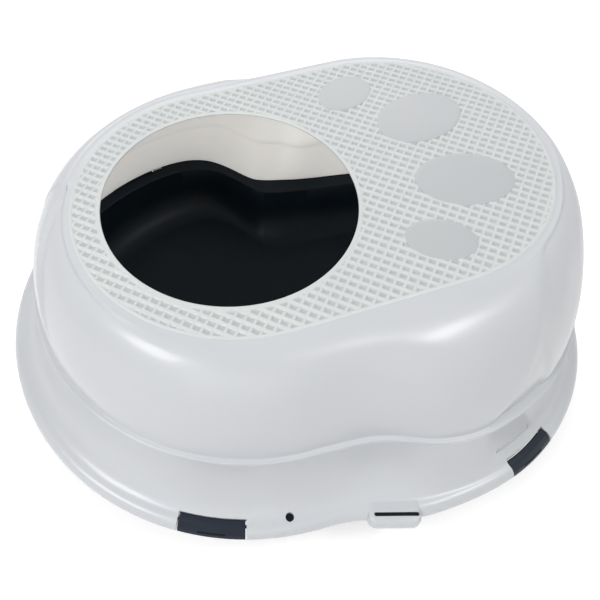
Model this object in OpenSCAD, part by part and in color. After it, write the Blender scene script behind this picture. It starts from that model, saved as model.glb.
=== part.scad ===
// Top entry litter box: a one-piece hood over a shallow tray, held together by four hinged latches.
// Seen from above the body has two round lobes. The larger one lies at -X, under the entry hole.
// +X runs along the body, -Y is the front, +Z is up, and the tray stands on z = 0.

/* [Body] */
// Distance between the centres of the two lobes, along the body
lobe_gap = 139; // [134:1:144]
// How far the centre of the smaller lobe lies in front of the centre of the larger one
lobe_shift = 5; // [2:1:8]
// Radius of the larger lobe at the edge of the brim
big_lobe_r = 254; // [246:1:262]
// Radius of the smaller lobe at the edge of the brim
small_lobe_r = 226; // [222:1:230]
// Height of the flat top above the ground
top_z = 235; // [230:1:244]
// Height of the lower edge of the hood above the ground
lip_z = 55; // [52:1:58]
// Wall of the hood
skin = 3; // [2.6:0.1:3.4]

/* [Top] */
// Diameter of the entry hole
hole_d = 240; // [230:1:248]
// Half width of the ribbed top plate, which is a stadium
plate_r = 153; // [148:1:156]
// Distance between the two ends' centres of the ribbed top plate
plate_len = 164; // [160:1:168]
// Turn of the top plate against the long axis of the body
plate_turn = 18; // [14:1:20]
// Smooth border between the ribbed plate and the round shoulder
border_w = 9; // [7:1:11]

/* [Shoulder and ledge] */
// Drop from the flat top to the ledge round the body
ledge_drop = 97; // [92:1:100]
// Width of the ledge
ledge_w = 5; // [4:0.5:6]
// How far the ledge of the larger lobe lies inside the brim
ledge_in_big = 38; // [34:1:42]
// Radius of the ledge on the smaller lobe
ledge_small_r = 206; // [203:1:209]
// Depth of the hand grip in each end of the body
grip_depth = 4; // [3:0.5:5]

/* [Latches] */
// Width of a latch along the brim, in degrees of its lobe
latch_turn = 14.8; // [13:0.2:16]
// Depth of a latch from the edge of the brim to its hinge
latch_depth = 11; // [10:0.5:12]
// Diameter of a latch's hinge pins
pin_d = 3; // [2.6:0.1:3.2]

/* [Tray] */
// Wall of the tray
tray_wall = 2.6; // [2.2:0.1:3]
// How far the tray's wall lies inside the brim
tray_in = 28; // [26:1:30]
// Radius of the tray's bottom corner
tray_corner = 38; // [34:1:40]

/* [Hidden] */

pearl = [0.83, 0.84, 0.86];
navy = [0.14, 0.17, 0.22];

// Steps round the body, and the angle of each
STEPS = 96;
TURNS = [for (i = [0 : STEPS - 1]) i * 360 / STEPS];

// Centres of the lobes of the brim; the origin is near the middle of the body's length
BIG = [-54.5, 0];
SMALL = BIG + [lobe_gap, -lobe_shift];

// Centre of the smaller lobe of the ledge
LEDGE_SMALL = BIG + [130, 0];

// Centres of the entry hole and of the two ends of the top plate
HOLE = BIG + [-14.3, 0.4];
plate_dir = [cos(plate_turn), sin(plate_turn)];
plate_side = [-sin(plate_turn), cos(plate_turn)];
PLATE_A = HOLE + 5 * plate_dir;
PLATE_B = PLATE_A + plate_len * plate_dir;

crest_z = lip_z + 12;
crest_in = 9;
fillet_r = 11;
barrel_r = 2.8;
hinge_z = crest_z - barrel_r - 0.15;

// ---- outlines, each given as a distance from the origin at a turn t ----

// Far crossing of the ray at turn t with a circle
function ray_circle(t, c, r) =
    let (b = c * [cos(t), sin(t)], q = b * b - c * c + r * r)
    q > 0 ? b + sqrt(q) : 0;

// Larger of two values, with the corner between them rounded over k
function soft_max(a, b, k) =
    let (h = max(k - abs(a - b), 0) / k)
    max(a, b) + h * h * k / 4;

function turn_from(t, t0) = (t - t0 + 540) % 360 - 180;

// Bell round turn t0, of width w on one side and w_up on the other
function dip(t, t0, w, w_up) =
    let (x = turn_from(t, t0))
    exp(-pow(x / (x > 0 ? w_up : w), 2));

// Edge of the brim, with a deep waist at the back and the front waist partly filled for the pocket
function brim(t) =
    soft_max(ray_circle(t, BIG, big_lobe_r), ray_circle(t, SMALL, small_lobe_r), 21)
        - 54 * dip(t, 100, 27.5, 11.5) + 6 * dip(t, -69, 10, 10);

// Edge of the ledge, which has its own waists and stays inside the brim
function ledge(t) =
    let (
        round = soft_max(ray_circle(t, BIG, big_lobe_r - ledge_in_big), ray_circle(t, LEDGE_SMALL, ledge_small_r), 18),
        free = round - 11 * dip(t, -70, 10, 10) + 9 * dip(t, 122, 30, 30) - 27 * dip(t, 88.5, 16, 13)
    )
    -soft_max(-free, 11 - brim(t), 6);
ledge_z = top_z - ledge_drop;

// Stadium of the top plate, grown by g
function plate(t, g) =
    let (
        r = plate_r + g,
        u = [cos(t), sin(t)],
        across = u * plate_side,
        reach = abs(across) < 0.001 ? 10000 : (sign(across) * r + PLATE_A * plate_side) / across,
        along = (reach * u - PLATE_A) * plate_dir
    )
    along >= 0 && along <= plate_len
        ? reach
        : max(ray_circle(t, PLATE_A, r), ray_circle(t, PLATE_B, r));

// ---- the hood's rings, from the top plate down to the lip ----

// Rise from 0 to 1 over the first w of x
function ramp(x, w) = let (q = min(1, max(0, x / w))) q * q * (3 - 2 * q);

// Depth of the hand grip at turn t and profile angle a: a band that widens downward, one at each end
function grip(t, a) =
    let (
        lean = 0.37 * (a - 30),
        wide = 0.33 * (a - 37),
        right = turn_from(t, -27.5 - lean),
        left = turn_from(174 + lean, t)
    )
    grip_depth * ramp(a - 36, 14) * (ramp(right, 4) * ramp(wide - right, 4) + ramp(left, 4) * ramp(wide - left, 4));

// Ring on the shoulder and wall, at angle a of its quarter ellipse; wall is the inset of the inner skin.
// Where the ledge lies under the plate, the shoulder still bulges out before the wall leans in.
function upper_ring(a, wall) = [for (t = TURNS)
    let (
        from = plate(t, border_w),
        across = ledge(t) - ledge_w - from,
        bulge = soft_max(across, 10, 12),
        r = from + bulge * sin(a) - (bulge - across) * ramp(1 - cos(a), 1) - grip(t, a) - wall
    )
    [r * cos(t), r * sin(t), top_z - wall - (top_z - ledge_z - ledge_w / 4) * (1 - cos(a))]];

// Ring at a fixed distance inside the brim
function brim_ring(inset, z) = [for (t = TURNS) let (r = brim(t) - inset) [r * cos(t), r * sin(t), z]];

// Ring on the lower wall, at angle a of the hollow flare that runs from the ledge out to the brim
function flare_ring(a, wall) = [for (t = TURNS)
    let (
        from = ledge(t),
        r = from + 4 * a / 90 + (brim(t) - crest_in - from - 4) * (1 - cos(a)) - wall * cos(a)
    )
    [r * cos(t), r * sin(t), ledge_z - 1 - (ledge_z - 1 - crest_z) * pow(sin(a), 0.9) - wall * sin(a)]];

function outer_rings() = concat(
    [for (a = [0, 8, 17, 26, 36, 46, 56, 66, 75, 83, 90]) upper_ring(a, 0)],
    [for (a = [0, 14, 30, 46, 60, 74, 90]) flare_ring(a, 0)],
    [for (a = [30, 60, 90]) brim_ring(crest_in * (1 - sin(a)), crest_z - crest_in * (1 - cos(a)))],
    [brim_ring(0, lip_z)]);

function inner_rings() = concat(
    [brim_ring(skin, lip_z)],
    [for (a = [90, 60, 30])
        brim_ring(crest_in - (crest_in - skin) * sin(a), crest_z - crest_in + (crest_in - skin) * cos(a))],
    [for (a = [90, 70, 50, 30, 10]) flare_ring(a, skin)],
    [for (a = [90, 78, 64, 50, 36, 22, 10, 0]) upper_ring(a, skin)]);

// Closed skin through rings of equal length, with the first and the last ring capped
module loft(rings) {
    n = len(rings[0]);
    m = len(rings);
    sides = [for (j = [0 : m - 2], i = [0 : n - 1], k = [0, 1])
        let (a = j * n + i, b = j * n + (i + 1) % n)
        k == 0 ? [a, b, b + n] : [a, b + n, a + n]];
    first = [[for (i = [0 : n - 1]) n - 1 - i]];
    last = [[for (i = [0 : n - 1]) (m - 1) * n + i]];
    polyhedron([for (ring = rings, p = ring) p], concat(first, sides, last));
}

// Piece of a ring round a lobe: profile points are distances from the brim's edge and heights
module on_brim(lobe, radius, turn, width, profile) {
    translate([lobe[0], lobe[1], 0])
        rotate([0, 0, turn - width / 2])
            rotate_extrude(angle = width, $fn = 180)
                translate([radius, 0])
                    polygon(profile);
}

// Moves its children to a latch: x runs outward from the brim's edge and y along it
module at_latch(lobe, radius, turn) {
    translate([lobe[0], lobe[1], 0])
        rotate([0, 0, turn])
            translate([radius, 0, 0])
                children();
}

// Lobe centre, lobe radius and turn of each latch
LATCH_FL = [BIG, big_lobe_r, -97.7];
LATCH_FR = [SMALL, small_lobe_r, -51.9];
LATCH_RL = [BIG, big_lobe_r, 126];
LATCH_RR = [SMALL, small_lobe_r, 48];
LATCHES = [LATCH_FL, LATCH_FR, LATCH_RL, LATCH_RR];

latch_half = function (latch) latch[1] * sin(latch_turn / 2);

// Half length of the hinge barrel, which stays inside the notch where the notch is narrowest
barrel_half = function (latch) (latch[1] - latch_depth - barrel_r) * tan(latch_turn / 2) - 1;

// ---- latch ----
latch_skin = 2.8;
hook_w = 40;
hook_in = 14.2;

function arc(cx, cz, r, a0, a1, n) = [for (i = [0 : n]) let (a = a0 + (a1 - a0) * i / n) [cx + r * cos(a), cz + r * sin(a)]];

module latch(latch) {
    lobe = latch[0];
    radius = latch[1];
    turn = latch[2];
    half = latch_half(latch);
    inner = crest_in - latch_skin;
    color(navy)
    difference() {
        union() {
            // Cover that follows the brim, from the hinge to the lip
            on_brim(lobe, radius, turn, latch_turn - 0.5, concat(
                [[-latch_depth, crest_z - latch_skin], [-latch_depth, crest_z]],
                arc(-crest_in, crest_z - crest_in, crest_in, 90, 0, 6),
                [[0, lip_z + 0.5], [-latch_skin, lip_z + 0.5]],
                arc(-crest_in, crest_z - crest_in, inner, 0, 90, 6)));
            // Hinge barrel and its two pins
            at_latch(lobe, radius, turn) {
                translate([-latch_depth, barrel_half(latch), hinge_z])
                    rotate([90, 0, 0])
                        cylinder(r = barrel_r, h = 2 * barrel_half(latch), $fn = 48);
                translate([-latch_depth, half + 2.6, hinge_z])
                    rotate([90, 0, 0])
                        cylinder(d = pin_d, h = 2 * half + 5.2, $fn = 48);
                // Hook that reaches in below the flange of the tray
                translate([-hook_in, -hook_w / 2, lip_z + 0.8])
                    cube([hook_in - 1.4, hook_w, 2]);
            }
        }
        // Slot near the lower edge for a fingernail
        at_latch(lobe, radius, turn)
            translate([-6, -11, lip_z + 3.2])
                cube([12, 22, 1.8]);
    }
}

module latch_front_left() { latch(LATCH_FL); }
module latch_front_right() { latch(LATCH_FR); }
module latch_rear_left() { latch(LATCH_RL); }
module latch_rear_right() { latch(LATCH_RR); }

// ---- hood ----

// Pocket on the front waist, and the slot in its top
pocket_x = 80;
pocket_w = 49;
pocket_front = 245;
pocket_z = crest_z + 2;
pocket_room_back = 224;
pocket_wall_back = 231;
pocket_roof_back = 221;
pocket_roof_t = 4.5;
slot_x = 81.5;
slot_w = 41.4;
slot_y = 236;
slot_t = 3.6;

// Round hole in the front of the brim for the peg of the tray
peg_turn = -80.9;
peg_in = 13;
peg_d = 6.8;

// Shallow recess above the right latch: turn and width in degrees of its lobe, and the surface line it
// follows, as distances inside the brim and heights of its two long edges
recess_turn = -56.1;
recess_wide = 12.7;
recess_deep = 1.2;
recess_top = [25.2, 96.5];
recess_foot = [21.3, 82.5];
recess_out = [0.966, 0.269];

// Toe pads, in the axes of the top plate: distance along, distance across, length, width and turn
PADS = [[163.5, 106, 65, 47, 25], [221, 46.6, 96, 68, 12.5], [221, -46.6, 96, 68, -12.5], [163.5, -106, 65, 47, -25]];

// Outline of the top plate grown by g
module plate_outline(g) {
    polygon([for (t = TURNS) plate(t, g) * [cos(t), sin(t)]]);
}

// Outline of the pocket, set in by grow, from its front back to a given line
module pocket_outline(grow, back) {
    corner = 7 - grow;
    y0 = -pocket_front + grow;
    translate([pocket_x - pocket_w / 2 + grow, y0 + corner])
        square([pocket_w - 2 * grow, -back - y0 - corner]);
    translate([pocket_x - pocket_w / 2 + grow + corner, y0])
        square([pocket_w - 2 * grow - 2 * corner, corner + 1]);
    for (side = [-1, 1])
        translate([pocket_x + side * (pocket_w / 2 - grow - corner), y0 + corner])
            circle(r = corner, $fn = 48);
}

module hood() {
    color(pearl)
    difference() {
        union() {
            loft(concat(outer_rings(), inner_rings()));
            // Beads round the ribbed plate and round the entry hole
            translate([0, 0, top_z - 0.5])
                linear_extrude(1.7)
                    difference() {
                        plate_outline(1);
                        plate_outline(-4);
                    }
            translate([HOLE[0], HOLE[1], top_z - 0.5])
                cylinder(d = hole_d + 8, h = 1.7, $fn = 180);
            // Smooth toe pads
            for (pad = PADS)
                translate([HOLE[0], HOLE[1], top_z - 0.5])
                    rotate([0, 0, plate_turn])
                        translate([pad[0], pad[1], 0])
                            rotate([0, 0, pad[4]])
                                linear_extrude(1.9)
                                    polygon([for (a = [0 : 9 : 351]) [pad[2] / 2 * cos(a), pad[3] / 2 * sin(a)]]);
            // Pocket on the front waist: its walls, and its roof that runs back into the flare
            translate([0, 0, lip_z])
                linear_extrude(crest_z - 2 - lip_z)
                    pocket_outline(0, pocket_wall_back);
            translate([0, 0, pocket_z - pocket_roof_t])
                linear_extrude(pocket_roof_t)
                    pocket_outline(0, pocket_roof_back);
            // Bosses beside each notch that carry the latch's pins
            for (latch = LATCHES, side = [-1, 1])
                at_latch(latch[0], latch[1], latch[2])
                    translate([-latch_depth - 3.4, side * (latch_half(latch) + 3.6) - 2.8, hinge_z - 3.2])
                        cube([6.8, 5.6, 4.2]);
        }
        // Entry hole
        translate([HOLE[0], HOLE[1], top_z - 20])
            cylinder(d = hole_d, h = 40, $fn = 180);
        // Inside and slot of the pocket
        translate([0, 0, lip_z - 1])
            linear_extrude(pocket_z - lip_z + 1 - skin)
                pocket_outline(2.6, pocket_room_back);
        translate([slot_x - slot_w / 2, -slot_y - slot_t / 2, lip_z])
            cube([slot_w, slot_t, 40]);
        // Peg hole
        at_latch(BIG, big_lobe_r, peg_turn)
            translate([-peg_in, 0, lip_z])
                cylinder(d = peg_d + 1, h = 30, $fn = 48);
        // Recess above the right latch
        on_brim(SMALL, small_lobe_r, recess_turn, recess_wide,
            [for (p = [[recess_top, -recess_deep], [recess_foot, -recess_deep], [recess_foot, 4], [recess_top, 4]])
                [p[1] * recess_out[0] - p[0][0], p[0][1] + p[1] * recess_out[1]]]);
        // Notch and pin holes of each latch
        for (latch = LATCHES) {
            on_brim(latch[0], latch[1], latch[2], latch_turn,
                [[-latch_depth - barrel_r - 0.6, lip_z - 1], [6, lip_z - 1], [6, crest_z + 14],
                    [-latch_depth - barrel_r - 0.6, crest_z + 14]]);
            at_latch(latch[0], latch[1], latch[2])
                translate([-latch_depth, latch_half(latch) + 3.4, hinge_z])
                    rotate([90, 0, 0])
                        cylinder(d = pin_d + 0.4, h = 2 * latch_half(latch) + 6.8, $fn = 48);
        }
    }
}

// ---- tray ----
flange_z = lip_z + 8.7;
flange_t = 3;
flange_edge = crest_in - 0.4;
draft = 12;
notch_in = 14.8;

// Ring of the tray's wall at height z above the floor of the ring set, set in by wall
function tray_inset(z) =
    let (drop = flange_z - flange_t - max(z, tray_corner), low = max(0, tray_corner - z))
    tray_in + drop * tan(draft) + tray_corner - sqrt(tray_corner * tray_corner - low * low);

function tray_rings() = concat(
    [for (z = [0, 2, 6, 12, 20, 29]) brim_ring(tray_inset(z), z)],
    [brim_ring(tray_in, flange_z - flange_t), brim_ring(flange_edge, flange_z - flange_t),
        brim_ring(flange_edge, flange_z), brim_ring(tray_in + tray_wall, flange_z)],
    [for (z = [29, 20, 12, 6, 2, 0]) brim_ring(tray_inset(z) + tray_wall, z + tray_wall)]);

module tray() {
    color(navy)
    difference() {
        union() {
            loft(tray_rings());
            // Tongue that rises into the pocket of the hood, on a tab of the flange
            translate([slot_x - slot_w / 2 + 1, -slot_y - 1.2, flange_z - flange_t])
                cube([slot_w - 2, 22, flange_t]);
            translate([slot_x - slot_w / 2 + 1, -slot_y - 1.2, flange_z - flange_t])
                cube([slot_w - 2, 2.4, pocket_z - flange_z + flange_t - 0.6]);
            // Peg that fills the round hole of the hood
            at_latch(BIG, big_lobe_r, peg_turn)
                translate([-peg_in, 0, flange_z - 0.5])
                    cylinder(d = peg_d, h = crest_z + 0.4 - flange_z + 0.5, $fn = 48);
        }
        // Gaps in the flange below the latches
        for (latch = LATCHES)
            on_brim(latch[0], latch[1], latch[2], latch_turn + 5,
                [[-notch_in, 0], [8, 0], [8, top_z], [-notch_in, top_z]]);
    }
}

tray();
hood();
latch_front_left();
latch_front_right();
latch_rear_left();
latch_rear_right();
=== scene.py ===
import bpy
import math
import numpy as np
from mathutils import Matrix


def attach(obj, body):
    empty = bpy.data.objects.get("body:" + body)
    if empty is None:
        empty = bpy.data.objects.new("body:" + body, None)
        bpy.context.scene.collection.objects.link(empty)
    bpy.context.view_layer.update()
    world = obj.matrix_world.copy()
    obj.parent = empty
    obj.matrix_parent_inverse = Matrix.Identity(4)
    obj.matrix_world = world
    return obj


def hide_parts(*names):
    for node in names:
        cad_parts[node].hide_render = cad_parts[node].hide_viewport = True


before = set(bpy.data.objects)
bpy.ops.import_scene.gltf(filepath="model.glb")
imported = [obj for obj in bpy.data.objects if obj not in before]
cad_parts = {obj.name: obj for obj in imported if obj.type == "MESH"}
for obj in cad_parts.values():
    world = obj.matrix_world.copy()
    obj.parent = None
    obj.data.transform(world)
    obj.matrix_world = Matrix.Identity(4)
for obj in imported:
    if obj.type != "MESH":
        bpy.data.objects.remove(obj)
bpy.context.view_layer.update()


# ---- Hood shell ----
# One thin-walled moulding in pearl grey plastic: top plate, round shoulder, wall, ledge, flared lower wall and
# rolled brim. It is drawn as one closed skin on spokes round the origin, in millimetres. The notches of the
# latches, the peg hole, the pocket's inside and a shallow recess are then cut out of it.
BIG, BIG_R = np.array([-54.5, 0.0]), 254.0  # larger lobe of the brim, under the entry hole
SMALL, SMALL_R = BIG + np.array([139.0, -5.0]), 226.0  # smaller lobe, under the toe pads
HOLE, HOLE_R = BIG + np.array([-14.3, 0.4]), 120.0
PLATE_TURN = math.radians(18)  # the top plate is turned against the brim
PLATE_DIR = np.array([math.cos(PLATE_TURN), math.sin(PLATE_TURN)])
PLATE_SIDE = np.array([-PLATE_DIR[1], PLATE_DIR[0]])
PLATE_AHEAD, PLATE_R, PLATE_LEN = 5.0, 153.0, 164.0
PLATE_A = HOLE + PLATE_AHEAD * PLATE_DIR
TOP_Z, LEDGE_Z, LIP_Z = 235.0, 138.0, 55.0
CREST_Z, CREST_IN, SKIN = LIP_Z + 12.0, 9.0, 3.0


def ray_circle(t, centre, radius):
    # distance from the origin to a circle, along the direction t
    b = centre[0] * np.cos(t) + centre[1] * np.sin(t)
    q = b * b - centre @ centre + radius * radius
    return np.where(q > 0, b + np.sqrt(np.maximum(q, 0)), 0)


def soft_max(a, b, k):
    h = np.maximum(k - np.abs(a - b), 0) / k
    return np.maximum(a, b) + h * h * k / 4


def turn_from(t, t0):
    return (np.degrees(t) - t0 + 540) % 360 - 180


def dip(t, deep, middle, before, after):
    # bell-shaped change of a radius; its middle and its reach to both sides are in degrees
    x = turn_from(t, middle)
    return deep * np.exp(-(x / np.where(x > 0, after, before)) ** 2)


def ramp(x, w):
    # smooth step from 0 at x = 0 to 1 at x = w
    q = np.clip(x / w, 0, 1)
    return q * q * (3 - 2 * q)


def plate(t, g):
    # stadium outline of the top plate, g outside its edge
    r = PLATE_R + g
    u = np.stack([np.cos(t), np.sin(t)], -1)
    across = u @ PLATE_SIDE
    safe = np.where(np.abs(across) < 1e-6, 1e-6, across)
    reach = (np.sign(safe) * r + PLATE_A @ PLATE_SIDE) / safe
    along = (reach[..., None] * u - PLATE_A) @ PLATE_DIR
    ends = np.maximum(ray_circle(t, PLATE_A, r), ray_circle(t, PLATE_A + PLATE_LEN * PLATE_DIR, r))
    return np.where((along >= 0) & (along <= PLATE_LEN), reach, ends)


BACK_WAIST, FRONT_SWELL = (54, 100, 27.5, 11.5), (6, -69, 10, 10)
LOBE_BLEND = 21


def brim(t):
    lobes = soft_max(ray_circle(t, BIG, BIG_R), ray_circle(t, SMALL, SMALL_R), LOBE_BLEND)
    return lobes - dip(t, *BACK_WAIST) + dip(t, *FRONT_SWELL)


LEDGE_BIG_R, LEDGE_SMALL, LEDGE_SMALL_R = BIG_R - 38, BIG + np.array([130.0, 0.0]), 206
LEDGE_BLEND, LEDGE_GAP, LEDGE_GAP_BLEND = 18, 11, 6  # the ledge stays at least its gap inside the brim
LEDGE_FRONT, LEDGE_REAR_SWELL, LEDGE_BACK = (11, -70, 10, 10), (9, 122, 30, 30), (27, 88.5, 16, 13)


def ledge(t):
    free = soft_max(ray_circle(t, BIG, LEDGE_BIG_R), ray_circle(t, LEDGE_SMALL, LEDGE_SMALL_R), LEDGE_BLEND)
    free = free - dip(t, *LEDGE_FRONT) + dip(t, *LEDGE_REAR_SWELL) - dip(t, *LEDGE_BACK)
    return -soft_max(-free, LEDGE_GAP - brim(t), LEDGE_GAP_BLEND)


# finger grips at both ends: the turns at which they start, in degrees, and how these move for each degree down the
# shoulder, which is at 0 at the border and at 90 at the foot of the wall
LEFT_GRIP, RIGHT_GRIP, RIGHT_SCOOP = 174, -27.5, 18
GRIP_LEAN, LEAN_FROM, LEFT_SPREAD, RIGHT_SPREAD = 0.37, 30, 0.4, 0.5
SCOOP_DEEP, SCOOP_STEP, SCOOP_CUT, SCOOP_RIGHT_SHARE = 5, 1.8, 3.4, 0.8
SCOOP_LENGTH, SCOOP_TAIL, SCOOP_FADE_FROM, SCOOP_FADE = 20, 45, 45, 40
CRISP_EDGE, SOFT_EDGE, FRONT_EDGE, BORDER_EDGE = 0.7, 14, 8, 6
GROOVE_DEEP, GROOVE_FROM, GROOVE_FADE, GROOVE_WIDEN, GROOVE_WIDE_FROM = 4, 36, 14, 0.33, 37
GROOVE_STEEP, GROOVE_GENTLE = 2.5, 3


def scoop(t, a):
    # shallow scoop with a crisp edge at the border and, on the left, at the back
    left = turn_from(t, LEFT_GRIP + LEFT_SPREAD * a)
    right = -turn_from(t, RIGHT_SCOOP - RIGHT_SPREAD * a)
    front = turn_from(t, RIGHT_GRIP - GRIP_LEAN * (a - LEAN_FROM))
    at_left = ramp(left, CRISP_EDGE) * (1 - ramp(left - SCOOP_LENGTH, SCOOP_TAIL))
    at_right = SCOOP_RIGHT_SHARE * ramp(right, SOFT_EDGE) * ramp(front + FRONT_EDGE / 2, FRONT_EDGE)
    return (1 - ramp(a - SCOOP_FADE_FROM, SCOOP_FADE)) * (at_left + at_right)


def grip(t, a):
    # the scoop, and below it a groove that leans and widens downward
    lean, wide = GRIP_LEAN * (a - LEAN_FROM), GROOVE_WIDEN * (a - GROOVE_WIDE_FROM)
    right, left = turn_from(t, RIGHT_GRIP - lean), -turn_from(t, LEFT_GRIP + lean)
    grooves = (ramp(right, GROOVE_STEEP) * ramp(wide - right, GROOVE_GENTLE)
               + ramp(left, GROOVE_STEEP) * ramp(wide - left, GROOVE_GENTLE))
    return np.maximum(GROOVE_DEEP * ramp(a - GROOVE_FROM, GROOVE_FADE) * grooves,
                      SCOOP_DEEP * scoop(t, a) * ramp(a - 1, BORDER_EDGE))


SPOKES, BORDER = 540, 9
TURNS = np.radians(np.arange(SPOKES) * 360 / SPOKES)
RAYS = np.stack([np.cos(TURNS), np.sin(TURNS)], -1)
LEDGE_R, BRIM_R = ledge(TURNS), brim(TURNS)
BORDER_R = plate(TURNS, BORDER - SCOOP_CUT * scoop(TURNS, 0.0))
hole_dir = RAYS * plate(TURNS, 0)[:, None] - HOLE
hole_dir /= np.linalg.norm(hole_dir, axis=1)[:, None]


def polar_row(r, z):
    return np.concatenate([RAYS * np.asarray(r)[:, None], np.broadcast_to(z, (SPOKES,))[:, None]], 1)


def hole_row(r, z):
    return np.concatenate([HOLE + hole_dir * r, np.full((SPOKES, 1), z)], 1)


WALL_IN, FOOT_ROUND = 5, 1.3  # the wall stands this far inside the ledge's edge, on a small fillet
BULGE_LEAST, BULGE_BLEND, BULGE_RIGHT, BULGE_BACK = 10, 12, (10, 10, 15, 15), (18, 140, 28, 24)


def shoulder(a, wall):
    s, c = math.sin(math.radians(a)), math.cos(math.radians(a))
    across = LEDGE_R - WALL_IN - BORDER_R
    bulge = soft_max(across, BULGE_LEAST, BULGE_BLEND) + dip(TURNS, *BULGE_RIGHT) - dip(TURNS, *BULGE_BACK)
    r = BORDER_R + bulge * s - (bulge - across) * ramp(1 - c, 1) - grip(TURNS, a)
    step = SCOOP_STEP * scoop(TURNS, a) * ramp(a, 2) * (1 - ramp(a - 20, 30))
    return polar_row(r - wall * s, TOP_Z - (TOP_Z - LEDGE_Z - FOOT_ROUND) * (1 - c) - wall * c - step)


FLARE_Z, FLARE_OUT, FLARE_POWER = LEDGE_Z - 3.4, 4, 0.9


def flare(a, wall):
    s, c = math.sin(math.radians(a)), math.cos(math.radians(a))
    r = LEDGE_R + FLARE_OUT * a / 90 + (BRIM_R - CREST_IN - LEDGE_R - FLARE_OUT) * (1 - c)
    return polar_row(r - wall * c, FLARE_Z - (FLARE_Z - CREST_Z) * s ** FLARE_POWER - wall * s)


def bend(r, z, radius, turns):
    # rows round a corner of the given radius
    return [polar_row(r + radius * math.cos(b), z + radius * math.sin(b)) for b in np.radians(turns)]


# entry hole: its wall, its rounded edge and the smooth band round it
FLOOR_Z, BAND_Z, UNDER_Z, HOLE_ROUND = TOP_Z - 2.4, TOP_Z + 0.6, TOP_Z - SKIN - 1.4, 1.0
rows = [hole_row(HOLE_R + g, z) for g, z in ((4.0, UNDER_Z), (0.6, TOP_Z - 1.4), (0, TOP_Z - 0.9),
                                             (0, BAND_Z - HOLE_ROUND))]
rows += [hole_row(HOLE_R + HOLE_ROUND - HOLE_ROUND * math.cos(b), BAND_Z - HOLE_ROUND + HOLE_ROUND * math.sin(b))
         for b in np.radians([25, 50, 75, 90])]
rows += [hole_row(HOLE_R + g, z) for g, z in ((3.4, BAND_Z), (3.9, BAND_Z - 0.3), (4.1, FLOOR_Z))]
# floor under the ribs, and the thin raised rim of the plate
rows += [polar_row(plate(TURNS, g), z) for g, z in ((-2.6, FLOOR_Z), (-2.4, BAND_Z - 0.2), (-2.0, BAND_Z + 0.1),
                                                    (-0.8, BAND_Z + 0.1), (-0.2, BAND_Z - 0.15))]
rim_rows = len(rows)
# smooth border with a low bead along its edge, which fades out at the front
BEAD, BEAD_GONE = 0.22, (1, -75, 50, 45)
rows += [polar_row(plate(TURNS, g), z) for g, z in ((0.3, TOP_Z + 0.1), (0.8, TOP_Z))]
bead = BEAD * (1 - dip(TURNS, *BEAD_GONE))
rows += [polar_row(BORDER_R - i, TOP_Z + bead * q) for i, q in ((2.4, 0), (1.7, 0.7), (1.2, 1), (0.6, 0.8))]
# shoulder and wall, ledge, flare and brim
rows += [shoulder(a, 0) for a in np.r_[np.linspace(0, 12, 13), np.linspace(14.5, 90, 32)]]
wall_foot = LEDGE_R - WALL_IN - grip(TURNS, 90.0)
rows += [polar_row(wall_foot + FOOT_ROUND * (1 - math.cos(b)), LEDGE_Z + FOOT_ROUND * (1 - math.sin(b)))
         for b in np.radians([30, 60, 90])]
LEDGE_ROUND = 1.4
rows += bend(LEDGE_R - LEDGE_ROUND, LEDGE_Z - LEDGE_ROUND, LEDGE_ROUND, [90, 60, 30, 0])
rows += [polar_row(LEDGE_R - i, LEDGE_Z - down) for i, down in ((0, 2.4), (0.7, 2.7), (0.7, 3.2))]
rows += [flare(a, 0) for a in np.linspace(0, 90, 20)]
rows += bend(BRIM_R - CREST_IN, CREST_Z - CREST_IN, CREST_IN, [75, 60, 45, 30, 15, 0])
LIP_ROUND = 0.6
rows += [polar_row(BRIM_R, LIP_Z + LIP_ROUND), polar_row(BRIM_R - LIP_ROUND, LIP_Z)]
outer_rows = len(rows)
# back up on the inside, at the thickness of the skin
rows += [polar_row(BRIM_R - SKIN + LIP_ROUND, LIP_Z), polar_row(BRIM_R - SKIN, LIP_Z + LIP_ROUND)]
rows += bend(BRIM_R - CREST_IN, CREST_Z - CREST_IN, CREST_IN - SKIN, [0, 30, 60, 90])
rows += [flare(a, SKIN) for a in np.linspace(88, 0, 18)]
rows += [polar_row(LEDGE_R - SKIN, LEDGE_Z - SKIN), polar_row(wall_foot - SKIN + 1.5, LEDGE_Z - SKIN)]
rows += [shoulder(a, SKIN) for a in np.linspace(90, 0, 30)]
rows.append(polar_row(plate(TURNS, -SKIN), UNDER_Z))

SHARP = 32  # degrees between two faces from which an edge is drawn sharp


def add_mesh(name, verts, faces, smooth=True, sharp=SHARP):
    mesh = bpy.data.meshes.new(name)
    mesh.from_pydata((np.asarray(verts, float) / 1000).tolist(), [], [list(map(int, f)) for f in faces])
    mesh.update()
    mesh.validate()
    if smooth:
        mesh.polygons.foreach_set("use_smooth", [True] * len(mesh.polygons))
        mesh.set_sharp_from_angle(angle=math.radians(sharp))
    obj = bpy.data.objects.new(name, mesh)
    bpy.context.scene.collection.objects.link(obj)
    return obj


def ring_faces(count, n, closed=True):
    # quads between rows of n points, and from the last row back to the first if closed
    a = np.arange(n)
    b = (a + 1) % n
    out = []
    for j in range(count if closed else count - 1):
        k = (j + 1) % count
        out.append(np.stack([j * n + a, k * n + a, k * n + b, j * n + b], -1))
    return np.concatenate(out)


hood = add_mesh("hood_shell", np.concatenate(rows), ring_faces(len(rows), SPOKES))
row_of = np.repeat(np.arange(len(rows)), SPOKES)


def add_node(tree, kind, values={}, links={}, **traits):
    node = tree.nodes.new("ShaderNode" + kind)
    for trait, value in traits.items():
        setattr(node, trait, value)
    for socket, value in values.items():
        node.inputs[socket].default_value = value
    for socket, source in links.items():
        tree.links.new(source, node.inputs[socket])
    return node


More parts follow.
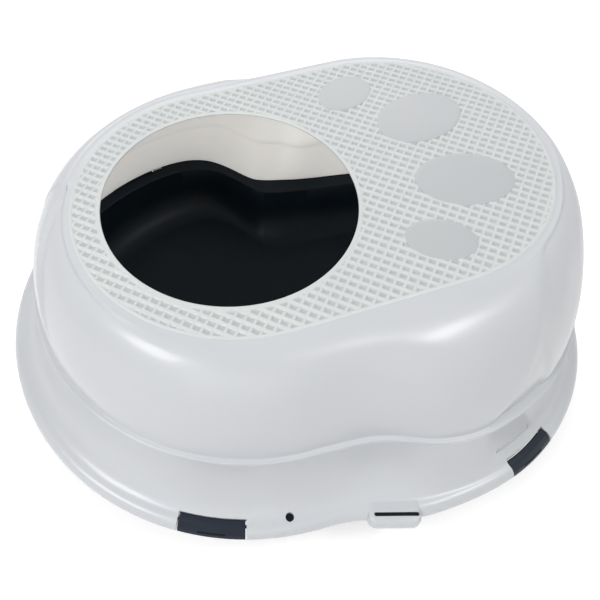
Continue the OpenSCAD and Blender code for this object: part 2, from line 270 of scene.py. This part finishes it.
def new_group(name, inputs, outputs):
    tree = bpy.data.node_groups.new(name, "ShaderNodeTree")
    for way, sockets in (("INPUT", inputs), ("OUTPUT", outputs)):
        for socket, kind in sockets.items():
            tree.interface.new_socket(socket, in_out=way, socket_type="NodeSocket" + kind)
    return tree, tree.nodes.new("NodeGroupInput").outputs, tree.nodes.new("NodeGroupOutput").inputs


# soft cloud between two tones of the plastic
CLOUD_GROUP, given, result = new_group(
    "plastic cloud",
    {"Scale": "Float", "Detail": "Float", "Start": "Float", "End": "Float", "Low": "Color", "High": "Color"},
    {"Color": "Color"})
place = add_node(CLOUD_GROUP, "TexCoord").outputs["Object"]
noise = add_node(CLOUD_GROUP, "TexNoise",
                 links={"Vector": place, "Scale": given["Scale"], "Detail": given["Detail"]})
share = add_node(CLOUD_GROUP, "MapRange",
                 links={"Value": noise.outputs["Fac"], "From Min": given["Start"], "From Max": given["End"]})
tone = add_node(CLOUD_GROUP, "Mix", data_type="RGBA",
                links={"Factor": share.outputs["Result"], "A": given["Low"], "B": given["High"]})
CLOUD_GROUP.links.new(tone.outputs["Result"], result["Color"])

# fine grain of the mould: uneven gloss and a very low relief
GRAIN_GROUP, given, result = new_group(
    "mould grain", {"Scale": "Float", "Detail": "Float", "Smooth": "Float", "Rough": "Float"},
    {"Roughness": "Float", "Height": "Float"})
place = add_node(GRAIN_GROUP, "TexCoord").outputs["Object"]
noise = add_node(GRAIN_GROUP, "TexNoise",
                 links={"Vector": place, "Scale": given["Scale"], "Detail": given["Detail"]})
spread = add_node(GRAIN_GROUP, "MapRange",
                  links={"Value": noise.outputs["Fac"], "To Min": given["Smooth"], "To Max": given["Rough"]})
GRAIN_GROUP.links.new(spread.outputs["Result"], result["Roughness"])
GRAIN_GROUP.links.new(noise.outputs["Fac"], result["Height"])


def plastic(name, cloud, grain, relief):
    mat = bpy.data.materials.new(name)
    mat.use_nodes = True
    tree = mat.node_tree
    bsdf = tree.nodes["Principled BSDF"]
    tones = add_node(tree, "Group", cloud, node_tree=CLOUD_GROUP)
    skin = add_node(tree, "Group", grain, node_tree=GRAIN_GROUP)
    bump = add_node(tree, "Bump", relief, {"Height": skin.outputs["Height"]})
    tree.links.new(tones.outputs["Color"], bsdf.inputs["Base Color"])
    tree.links.new(skin.outputs["Roughness"], bsdf.inputs["Roughness"])
    tree.links.new(bump.outputs["Normal"], bsdf.inputs["Normal"])
    return mat, bsdf


PEARL_LOW, PEARL_HIGH = (0.98, 0.982, 0.99), (1.02, 1.02, 1.015)
# heights over which the painted pit shade fades into the colour of the rib tops
PIT_SHADE_FROM_Z, PIT_SHADE_TO_Z = TOP_Z - 1.0, TOP_Z + 0.3


def pearl(name, color, rough, coat, glow=0.0, pit_shade=None):
    # pale grey with a faint pearl cloud, a glossy skin and fine mould grain; a glow, where given, is painted light,
    # and a pit colour, where given, is painted shade in the pits
    low, high = ((*[c * f for c, f in zip(color, tint)], 1) for tint in (PEARL_LOW, PEARL_HIGH))
    mat, bsdf = plastic(name, {"Scale": 9, "Detail": 4, "Start": 0.3, "End": 0.7, "Low": low, "High": high},
                        {"Scale": 420, "Detail": 3, "Smooth": rough - 0.02, "Rough": rough + 0.03},
                        {"Strength": 0.02, "Distance": 0.0001})
    bsdf.inputs["Coat Weight"].default_value = coat
    bsdf.inputs["Coat Roughness"].default_value = 0.16
    bsdf.inputs["Emission Color"].default_value = (*color, 1)
    bsdf.inputs["Emission Strength"].default_value = glow
    if pit_shade:
        # painted shade: the floors of the pits, and all of this material below the rib tops, are coloured darker
        # than the tops of the ribs, standing in for the shade in the pits
        tree = mat.node_tree
        clouded = bsdf.inputs["Base Color"].links[0].from_socket
        split = add_node(tree, "SeparateXYZ", links={"Vector": add_node(tree, "TexCoord").outputs["Object"]})
        pit_shade_share = add_node(tree, "MapRange", {"From Min": PIT_SHADE_FROM_Z / 1000, "From Max": PIT_SHADE_TO_Z / 1000},
                         {"Value": split.outputs["Z"]})
        mix = add_node(tree, "Mix", {"A": (*pit_shade, 1)}, {"Factor": pit_shade_share.outputs["Result"], "B": clouded},
                       data_type="RGBA")
        tree.links.new(mix.outputs["Result"], bsdf.inputs["Base Color"])
    return mat


wall_plastic = pearl("pearl wall", (0.603, 0.618, 0.642), 0.32, 0.3)
# the ribs' material carries a painted shade, darker by height, in its pits and below the rib tops
band_plastic = pearl("pearl ribs with painted pit shade", (0.65, 0.675, 0.67), 0.42, 0.08, pit_shade=(0.485, 0.507, 0.515))
# painted light: the inside of the hood glows, standing in for the light that comes through the thin shell and off
# the inner walls
inner_plastic = pearl("pearl inside with painted glow", (0.76, 0.745, 0.72), 0.5, 0.0, glow=0.41)
for mat in (wall_plastic, band_plastic, inner_plastic):
    hood.data.materials.append(mat)
slots = np.select([row_of < 1, row_of < rim_rows, row_of < outer_rows], [2, 1, 0], 2)
hood.data.polygons.foreach_set("material_index", slots.tolist())


def cut(obj, cutters):
    for c in cutters:
        m = obj.modifiers.new("cut", "BOOLEAN")
        m.operation, m.object, m.solver = "DIFFERENCE", c, "EXACT"
    graph = bpy.context.evaluated_depsgraph_get()
    mesh = bpy.data.meshes.new_from_object(obj.evaluated_get(graph))
    obj.modifiers.clear()
    obj.data = mesh
    mesh.polygons.foreach_set("use_smooth", [True] * len(mesh.polygons))
    mesh.set_sharp_from_angle(angle=math.radians(SHARP))
    for c in cutters:
        bpy.data.objects.remove(c)


def prism(name, outlines, heights):
    # closed solid through outlines of equal length, each at its own height
    m = len(outlines[0])
    verts = np.concatenate([np.c_[o, np.full(m, z)] for o, z in zip(outlines, heights)])
    faces = [list(f[::-1]) for f in ring_faces(len(outlines), m, closed=False)]
    faces += [list(range(m))[::-1], list((len(outlines) - 1) * m + np.arange(m))]
    return add_mesh(name, verts, faces)


def sweep_arc(name, centre, radius, turn, width, profile, steps=40):
    # profile points are distances from the radius and heights; the ends are flat
    prof = np.asarray(profile, float)
    angles = np.radians(turn + np.linspace(-width / 2, width / 2, steps))
    m = len(prof)
    r = radius + prof[None, :, 0]
    v = np.stack([centre[0] + r * np.cos(angles)[:, None], centre[1] + r * np.sin(angles)[:, None],
                  np.broadcast_to(prof[None, :, 1], (steps, m))], -1).reshape(-1, 3)
    i = np.arange(m)
    j = (i + 1) % m
    faces = [list(f) for k in range(steps - 1)
             for f in np.stack([(k + 1) * m + i, (k + 1) * m + j, k * m + j, k * m + i], -1)]
    return add_mesh(name, v, faces + [list(i), list((steps - 1) * m + i[::-1])])


def box(x0, x1, y0, y1):
    return np.array([(x0, y0), (x1, y0), (x1, y1), (x0, y1)], float)


def band(x0, x1, z0, z1):
    # square profile of an arc
    return [(x0, z0), (x1, z0), (x1, z1), (x0, z1)]


# lobe, its radius, turn in degrees, and how far the cover reaches in from the brim
LATCHES = {"latch_front_left": (BIG, BIG_R, -97.7, 14.0), "latch_front_right": (SMALL, SMALL_R, -51.9, 13.5),
           "latch_rear_left": (BIG, BIG_R, 126.0, 14.0), "latch_rear_right": (SMALL, SMALL_R, 48.0, 13.5)}
LATCH_W, NOTCH_IN, NOTCH_TOP_Z = 14.8, 14.5, 81
PEG_TURN, PEG_IN, PEG_HOLE_R = math.radians(-80.9), 13, 3.9
PEG = BIG + (BIG_R - PEG_IN) * np.array([math.cos(PEG_TURN), math.sin(PEG_TURN)])
RECESS_TURN, RECESS_W = -56.1, 12.7
RECESS = [(-25.4, 90.0), (-23.3, 82.0), (-17.4, 83.6), (-19.3, 91.6)]
SHELL_ROOM, ROOM_TOP_Z = (58, 101.6, -241.9, -223), 66
SLOT, SLOT_TOP_Z = (60.8, 102.2, -237.8, -234.2), 80
round_turns = np.radians(np.arange(0, 360, 7.5))
circle = np.stack([np.cos(round_turns), np.sin(round_turns)], -1)
BELOW_LIP_Z, PEG_HOLE_TOP_Z = LIP_Z - 1, LIP_Z + 30  # the cutters reach past the skin on both sides
cutters = [sweep_arc("notch_" + name, c, R, turn, LATCH_W, band(-NOTCH_IN, 6, BELOW_LIP_Z, NOTCH_TOP_Z))
           for name, (c, R, turn, deep) in LATCHES.items()]
cutters.append(prism("peg_hole", [PEG + circle * PEG_HOLE_R] * 2, [LIP_Z, PEG_HOLE_TOP_Z]))
cutters.append(sweep_arc("recess", SMALL, SMALL_R, RECESS_TURN, RECESS_W, RECESS))
cutters.append(prism("pocket_room", [box(*SHELL_ROOM)] * 2, [BELOW_LIP_Z, ROOM_TOP_Z]))
cutters.append(prism("pocket_slot", [box(*SLOT)] * 2, [LIP_Z, SLOT_TOP_Z]))
cut(hood, cutters)
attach(hood, "hood")
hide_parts("hood")

# bosses that carry the pins of the latches, one at each end of every notch
BOSS_W, BOSS_OUT = 2.3, 1.2
BOSS = [(-14.6, 56.5), (-2.0, 56.5), (-2.0, 61.0), (-7.0, 65.0), (-14.6, 66.5)]
for name, (c, R, turn, deep) in LATCHES.items():
    for side in (-1, 1):
        boss = sweep_arc("boss_" + name, c, R, turn + side * (LATCH_W / 2 + BOSS_OUT), BOSS_W, BOSS, steps=6)
        boss.data.materials.append(wall_plastic)
        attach(boss, "hood")

# ---- Waffle ribs of the top plate ----
# Two families of low ribs cross at about 45 degrees to the plate's axis and leave small pits between them. They are
# moulded in one with the hood and run into the rim of the plate, the band round the hole and the four toe pads.
PIT_Z = TOP_Z - 1.1
RIB_TOP_Z = TOP_Z + 0.5
# turn of the normal, pitch, phase, half width at the top, half width at the foot, and height as a share
RIBS = ((64.2, 8.62, 0.88, 0.9, 3.2, 1.0), (152.4, 8.78, -2.36, 0.5, 2.6, 0.8))
# four toe pads: place along and across the plate from the hole's centre, width, depth and turn
PADS = [(163.5, 106, 65, 47, 25), (221, 46.6, 96, 68, 12.5), (221, -46.6, 96, 68, -12.5), (163.5, -106, 65, 47, -25)]
CELLS = np.arange(-48, 49)
PIT_FADE, RIB_SHARP = 1.8, 60  # the pits get shallower this close to an edge
RIBS_TO_RIM, RIBS_TO_BAND, UNDER_RIM, UNDER_BAND, SUNK_Z = 2.3, 3.9, 0.8, 1.4, TOP_Z - 0.3
lines, tops = [], []
for turn, pitch, phase, flat, foot, tall in RIBS:
    # one period: flat top, rounded side, pit, and the same back up
    q = np.array([0, 0.25, 0.5, 0.75, 1])
    half = np.r_[0, flat + (foot - flat) * q, pitch / 2]
    rise = tall * np.r_[1, np.cos(q * math.pi) / 2 + 0.5, 0]
    off = np.r_[half, pitch - half[-2:0:-1]]
    lift = np.r_[rise, rise[-2:0:-1]]
    lines.append((phase + CELLS[:, None] * pitch + off[None, :]).ravel())
    tops.append(np.tile(lift, len(CELLS)))
n = len(lines[0])
line_a, line_b = np.meshgrid(lines[0], lines[1], indexing="ij")
h = np.maximum(tops[0][:, None], tops[1][None, :])
turn_a, turn_b = math.radians(RIBS[0][0]), math.radians(RIBS[1][0])
det = math.cos(turn_a) * math.sin(turn_b) - math.sin(turn_a) * math.cos(turn_b)
px = (line_a * math.sin(turn_b) - line_b * math.sin(turn_a)) / det
py = (line_b * math.cos(turn_a) - line_a * math.cos(turn_b)) / det
# distance inside the ribbed area, from the rim, the band round the hole and the pads
along = (px - HOLE[0]) * PLATE_DIR[0] + (py - HOLE[1]) * PLATE_DIR[1]
across = (px - HOLE[0]) * PLATE_SIDE[0] + (py - HOLE[1]) * PLATE_SIDE[1]
reach = np.hypot(np.clip(along - PLATE_AHEAD, 0, PLATE_LEN) - (along - PLATE_AHEAD), across)
from_hole = np.hypot(along, across)
near = np.minimum(PLATE_R - RIBS_TO_RIM - reach, from_hole - HOLE_R - RIBS_TO_BAND)
for x, y, w, d, turn in PADS:
    ca, sa = math.cos(math.radians(turn)), math.sin(math.radians(turn))
    lx, ly = (along - x) * ca + (across - y) * sa, -(along - x) * sa + (across - y) * ca
    near = np.minimum(near, (np.hypot(lx / (w / 2 - 1), ly / (d / 2 - 1)) - 1) * min(w, d) / 2)
inside = near > 0
h = np.maximum(h, np.clip(1 - near / PIT_FADE, 0, 1))
# a quad is kept if any of its corners is inside, so that its edge hides under its neighbour
kept = inside[:-1, :-1] | inside[1:, :-1] | inside[1:, 1:] | inside[:-1, 1:]
used = np.zeros((n, n), bool)
for di in (0, 1):
    for dj in (0, 1):
        used[di:n - 1 + di, dj:n - 1 + dj] |= kept
index = np.full((n, n), -1)
index[used] = np.arange(used.sum())
qi, qj = np.nonzero(kept)
faces = np.stack([index[qi, qj], index[qi + 1, qj], index[qi + 1, qj + 1], index[qi, qj + 1]], -1)
height = PIT_Z + (RIB_TOP_Z - PIT_Z) * h
under_edge = (reach > PLATE_R - UNDER_RIM) | (from_hole < HOLE_R + UNDER_BAND)
height = np.where(under_edge, np.minimum(height, SUNK_Z), height)
ribs = add_mesh("waffle_ribs", np.stack([px[used], py[used], height[used]], -1), faces, sharp=RIB_SHARP)
ribs.data.materials.append(band_plastic)
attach(ribs, "hood")

# ---- Toe pads ----
# Four smooth, almost flat ovals level with the tops of the ribs, moulded in one with the hood in the same pearl
# plastic. Each has a small rounded edge and a slight crown.
PAD_Z, PAD_CROWN, PAD_EDGE = TOP_Z + 0.6, 0.3, 0.7
pad_plastic = pearl("pearl pads", (0.505, 0.52, 0.533), 0.4, 0.05)
for k, (x, y, w, d, turn) in enumerate(PADS):
    ca, sa = math.cos(math.radians(turn)), math.sin(math.radians(turn))
    e = np.radians(np.arange(0, 360, 3))
    verts, m = [], len(e)
    profile = [(0.0, PIT_Z - 0.4), (0.0, TOP_Z + 0.1), (0.2, TOP_Z + 0.45), (PAD_EDGE, PAD_Z)]
    profile += [(q, PAD_Z + PAD_CROWN * math.sin((q - PAD_EDGE) / (d / 2 - 1.2) * math.pi / 2))
                for q in (4, 9, 15, d / 2 - 0.5)]
    for inset, z in profile:
        lx, ly = (w / 2 - inset) * np.cos(e), (d / 2 - inset) * np.sin(e)
        al, ac = x + lx * ca - ly * sa, y + lx * sa + ly * ca
        verts.append(np.stack([HOLE[0] + al * PLATE_DIR[0] + ac * PLATE_SIDE[0],
                               HOLE[1] + al * PLATE_DIR[1] + ac * PLATE_SIDE[1], np.full(m, z)], -1))
    faces = [list(f[::-1]) for f in ring_faces(len(profile), m, closed=False)]
    faces.append(list((len(profile) - 1) * m + np.arange(m)))
    pad = add_mesh("toe_pad_%d" % (k + 1), np.concatenate(verts), faces)
    pad.data.materials.append(pad_plastic)
    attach(pad, "hood")


# ---- Pocket ----
# Small hollow box on the front waist of the brim, moulded in one with the hood. Its edges are rounded and its top
# runs back into the flare, with a slot across it for the tray's tongue.
def rounded(x0, x1, y0, y1, r, steps=8):
    pts = []
    for cx, cy, a0 in ((x1 - r, y0 + r, -90), (x1 - r, y1 - r, 0), (x0 + r, y1 - r, 90), (x0 + r, y0 + r, 180)):
        for a in np.radians(a0 + np.linspace(0, 90, steps)):
            pts.append((cx + r * math.cos(a), cy + r * math.sin(a)))
    return np.array(pts)


# inset and height of each outline, from the lip up over the rounded edge
POCKET = [(0, LIP_Z), (0, 63.4), (0.5, 65.4), (1.7, 66.9), (3.4, 67.5)]
POCKET_X0, POCKET_X1, POCKET_Y0, POCKET_Y1, POCKET_ROUND, ROUND_LOSS = 55.5, 104.5, -245, -216, 8, 0.6
ROOM, ROOM_ROUND, SLOT_ROUND = (58, 102, -242.4, -219), 6, 1.4
outlines = [rounded(POCKET_X0 + g, POCKET_X1 - g, POCKET_Y0 + g, POCKET_Y1, POCKET_ROUND - g * ROUND_LOSS)
            for g, z in POCKET]
pocket = prism("pocket", outlines, [z for g, z in POCKET])
pocket.data.materials.append(wall_plastic)
cut(pocket, [prism("room", [rounded(*ROOM, ROOM_ROUND)] * 2, [BELOW_LIP_Z, ROOM_TOP_Z]),
             prism("slot", [rounded(*SLOT, SLOT_ROUND)] * 2, [LIP_Z, SLOT_TOP_Z])])
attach(pocket, "hood")


# ---- Latches ----
# Four clips of stiff navy plastic. Each is one small moulding snapped into the bosses beside its notch: a cover with
# a flat upper and a sloping lower face, a fingernail slit, a hinge barrel with two pins, and a hook below.
def navy(name, low, high, shine):
    mat, bsdf = plastic(
        name, {"Scale": 30, "Detail": 5, "Start": 0.0, "End": 1.0, "Low": (*low, 1), "High": (*high, 1)},
        {"Scale": 900, "Detail": 2, "Smooth": 0.34, "Rough": 0.48}, {"Strength": 0.1, "Distance": 0.0002})
    bsdf.inputs["Specular IOR Level"].default_value = shine
    return mat


def rod(name, r, half, place):
    # bar along the brim on the hinge's axis, with small chamfers at its ends
    ring = np.radians(np.arange(0, 360, 15))
    m = len(ring)
    ends = ((-half, r - CHAMFER), (-half + CHAMFER, r), (half - CHAMFER, r), (half, r - CHAMFER))
    verts = [np.c_[place(-HINGE_IN + rr * np.cos(ring), np.full(m, yy)), HINGE_Z + rr * np.sin(ring)]
             for yy, rr in ends]
    faces = [list(q) for q in ring_faces(4, m, closed=False)]
    faces += [list(np.arange(m)), list((3 * m + np.arange(m))[::-1])]
    return add_mesh(name, np.concatenate(verts), faces)


clip_plastic = navy("navy clips", (0.009, 0.014, 0.024), (0.014, 0.021, 0.034), 0.2)
HINGE_Z, HINGE_IN, CHAMFER = CREST_Z - 2.95, 11.0, 0.3
BARREL_R, PIN_R, PIN_OUT = 2.8, 1.5, 2.6
COVER_W, HOOK_W = LATCH_W - 0.5, LATCH_W - 0.6
SLIT, SLIT_Z = box(-6, 4, -13, 13), (LIP_Z + 4.6, LIP_Z + 6.3)
for name, (c, R, turn, deep) in LATCHES.items():
    ca, sa = math.cos(math.radians(turn)), math.sin(math.radians(turn))

    def at_brim(x, y):
        # x outward from the brim's edge and y along it, at this latch
        return np.stack([c[0] + (R + x) * ca - y * sa, c[1] + (R + x) * sa + y * ca], -1)

    profile = [(-deep, CREST_Z - 0.2), (-deep + 0.6, CREST_Z + 0.3), (-7.6, CREST_Z - 0.1), (-6.9, CREST_Z - 0.5),
               (-6.4, CREST_Z - 1.2), (-2.9, CREST_Z - 4.6), (-0.9, CREST_Z - 7.6), (0.0, LIP_Z + 1.2),
               (-0.5, LIP_Z + 0.5), (-2.3, LIP_Z + 0.5), (-2.8, LIP_Z + 1.0), (-4.0, CREST_Z - 8),
               (-8.0, CREST_Z - 3.4), (-deep + 0.3, CREST_Z - 3.0)]
    cover = sweep_arc(name + "_cover", c, R, turn, COVER_W, profile[::-1])
    cut(cover, [prism("slit", [at_brim(SLIT[:, 0], SLIT[:, 1])] * 2, SLIT_Z)])
    half_barrel = (R - HINGE_IN - BARREL_R) * math.tan(math.radians(LATCH_W / 2)) - 1
    half_pins = R * math.sin(math.radians(LATCH_W / 2)) + PIN_OUT
    barrel = rod(name + "_barrel", BARREL_R, half_barrel, at_brim)
    pins = rod(name + "_pins", PIN_R, half_pins, at_brim)
    hook = sweep_arc(name + "_hook", c, R, turn, HOOK_W, band(-14.2, -1.4, LIP_Z + 0.8, LIP_Z + 2.8))
    for part in (cover, barrel, pins, hook):
        part.data.materials.clear()
        part.data.materials.append(clip_plastic)
        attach(part, name)
    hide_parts(name)

# ---- Tray ----
# Shallow basin moulded in navy plastic, with a flat flange that carries the hood, a peg in the round hole and a
# tongue in the pocket. The flange is cut back under each latch.
FLANGE_Z, TRAY_IN, TRAY_WALL, CORNER, DRAFT = LIP_Z + 8.7, 28.0, 2.6, 38.0, math.radians(12)


def tray_inset(z):
    # distance of the basin's outside from the brim: sloping wall and round bottom corner
    drop = FLANGE_Z - 3 - max(z, CORNER)
    low = max(0, CORNER - z)
    return TRAY_IN + drop * math.tan(DRAFT) + CORNER - math.sqrt(CORNER * CORNER - low * low)


CENTRE = 0.02  # the floor closes on a small face at this share of the brim
GAP_W, PEG_R = LATCH_W + 5, 3.4
TONGUE, TONGUE_TIP = (61.8, 101.2, -237.2, -234.8), (62.1, 100.9, -236.9, -235.1)
TAB = (61.8, 101.2, -237.2, -215.2)
heights = [0] + [CORNER - CORNER * math.cos(math.radians(b)) for b in (8, 16, 24, 32, 40, 48, 56, 64, 72, 80, 90)]
flange = ((TRAY_IN + 0.6, 4), (TRAY_IN - 0.6, 3), (9.0, 3), (8.6, 2.6), (8.6, 0.4), (9.0, 0),
          (TRAY_IN + TRAY_WALL - 1, 0), (TRAY_IN + TRAY_WALL, 1))
rows = [polar_row(BRIM_R * CENTRE, 0)] + [polar_row(BRIM_R - tray_inset(z), z) for z in heights]
rows += [polar_row(BRIM_R - i, FLANGE_Z - down) for i, down in flange]
rows += [polar_row(BRIM_R - tray_inset(z) - TRAY_WALL, z + TRAY_WALL) for z in heights[::-1]]
rows.append(polar_row(BRIM_R * CENTRE, TRAY_WALL))
faces = [list(f[::-1]) for f in ring_faces(len(rows), SPOKES, closed=False)]
faces += [list(np.arange(SPOKES)[::-1]), list((len(rows) - 1) * SPOKES + np.arange(SPOKES))]
tray = add_mesh("tray_basin", np.concatenate(rows), faces)
cut(tray, [sweep_arc("gap_" + name, c, R, turn, GAP_W, band(-14.8, 8, 5, 120))
           for name, (c, R, turn, deep) in LATCHES.items()])
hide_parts("tray")
peg = prism("tray_peg", [PEG + circle * r for r in (PEG_R, PEG_R, PEG_R - 0.3)],
            [FLANGE_Z - 0.5, CREST_Z + 0.1, CREST_Z + 0.4])
tongue = prism("tray_tongue", [box(*TONGUE), box(*TONGUE), box(*TONGUE_TIP)], [FLANGE_Z - 3, 66.9, 67.2])
tab = prism("tray_tab", [box(*TAB)] * 2, [FLANGE_Z - 3, FLANGE_Z - 0.02])
# painted shade: the tray gets a darker navy than the clips, standing in for the shade it sits in under the hood
tray_navy_painted_shade = navy("navy tray with painted shade", (0.0035, 0.006, 0.009), (0.005, 0.009, 0.013), 0.12)
for part in (tray, peg, tongue, tab):
    part.data.materials.clear()
    part.data.materials.append(tray_navy_painted_shade)
    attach(part, "tray")


# ---- Stage ----
# White paper sweep in an even white room. Softboxes stand at the front left, at the right and behind, and a large
# weak one in front. The camera stands in front and looks down at the top plate.
def softbox(name, size, loc, power, size_y=None):
    light = bpy.data.lights.new(name, "AREA")
    light.shape = "RECTANGLE"
    light.size, light.size_y, light.energy = size, size_y or size, power
    obj = bpy.data.objects.new(name, light)
    bpy.context.scene.collection.objects.link(obj)
    obj.location = loc
    d = np.array(AIM, float) - np.array(loc, float)
    obj.rotation_euler = (math.atan2(math.hypot(d[0], d[1]), -d[2]), 0, math.atan2(d[1], d[0]) - math.pi / 2)


AIM = (0, 0, 0.15)  # middle of the box, in metres
softbox("soft left", 0.75, (-1.1, -0.77, 1.45), 13)
softbox("soft right", 0.6, (0.94, -0.44, 1.7), 7, 0.3)
softbox("front", 1.8, (-0.3, -2.0, 1.1), 6)
softbox("back", 1.8, (0.0, 1.5, 1.2), 8.5, 0.5)

FLOOR_HALF, FLOOR_GREY, FLOOR_GLOW = 6000, 0.7, 0.55  # the glow is only for rays that show the background
corners = [(-FLOOR_HALF, -FLOOR_HALF, 0), (FLOOR_HALF, -FLOOR_HALF, 0), (FLOOR_HALF, FLOOR_HALF, 0),
           (-FLOOR_HALF, FLOOR_HALF, 0)]
floor = add_mesh("floor", corners, [(0, 1, 2, 3)], smooth=False)
paper = bpy.data.materials.new("white sweep")
paper.use_nodes = True
tree = paper.node_tree
bsdf = tree.nodes["Principled BSDF"]
bsdf.inputs["Base Color"].default_value = (FLOOR_GREY, FLOOR_GREY, FLOOR_GREY, 1)
bsdf.inputs["Roughness"].default_value = 0.8
bsdf.inputs["Emission Color"].default_value = (1, 1, 1, 1)
path = add_node(tree, "LightPath")
seen = path.outputs["Is Camera Ray"]
for ray in ("Is Glossy Ray", "Is Transmission Ray"):
    seen = add_node(tree, "Math", links={0: seen, 1: path.outputs[ray]}, operation="ADD").outputs["Value"]
glow = add_node(tree, "Math", {1: FLOOR_GLOW}, {0: seen}, operation="MULTIPLY")
tree.links.new(glow.outputs["Value"], bsdf.inputs["Emission Strength"])
floor.data.materials.append(paper)

# the room is a little darker overhead and to both sides, and plain white where it is seen
OVERHEAD, SIDEWAYS = (0.9, 0.49), (1.0, 0.3)
world = bpy.data.worlds.new("studio")
bpy.context.scene.world = world
world.use_nodes = True
tree = world.node_tree
split = add_node(tree, "SeparateXYZ", links={"Vector": add_node(tree, "TexCoord").outputs["Generated"]})
side = add_node(tree, "Math", links={0: split.outputs["X"]}, operation="ABSOLUTE")
fall = [add_node(tree, "MapRange", {"To Min": near_value, "To Max": far_value}, {"Value": value})
        for value, (near_value, far_value) in ((split.outputs["Z"], OVERHEAD), (side.outputs["Value"], SIDEWAYS))]
strength = add_node(tree, "Math", links={0: fall[0].outputs["Result"], 1: fall[1].outputs["Result"]},
                    operation="MULTIPLY").outputs["Value"]
path = add_node(tree, "LightPath")
for ray in ("Is Camera Ray", "Is Glossy Ray", "Is Transmission Ray"):
    brighter = add_node(tree, "Math", links={0: strength, 1: path.outputs[ray]}, operation="MAXIMUM")
    strength = brighter.outputs["Value"]
tree.links.new(strength, tree.nodes["Background"].inputs["Strength"])
tree.nodes["Background"].inputs["Color"].default_value = (1, 1, 1, 1)

cam = bpy.data.cameras.new("camera")
cam.lens, cam.sensor_width = 41.65, 36
cam.shift_x, cam.shift_y = 0.105, -0.0783
cam_obj = bpy.data.objects.new("camera", cam)
bpy.context.scene.collection.objects.link(cam_obj)
cam_obj.location = (-0.0627, -0.4388, 0.7129)
cam_obj.rotation_euler = (math.radians(38.158), math.radians(0.292), math.radians(-0.448))
bpy.context.scene.camera = cam_obj
bpy.context.scene.view_settings.view_transform = "Standard"
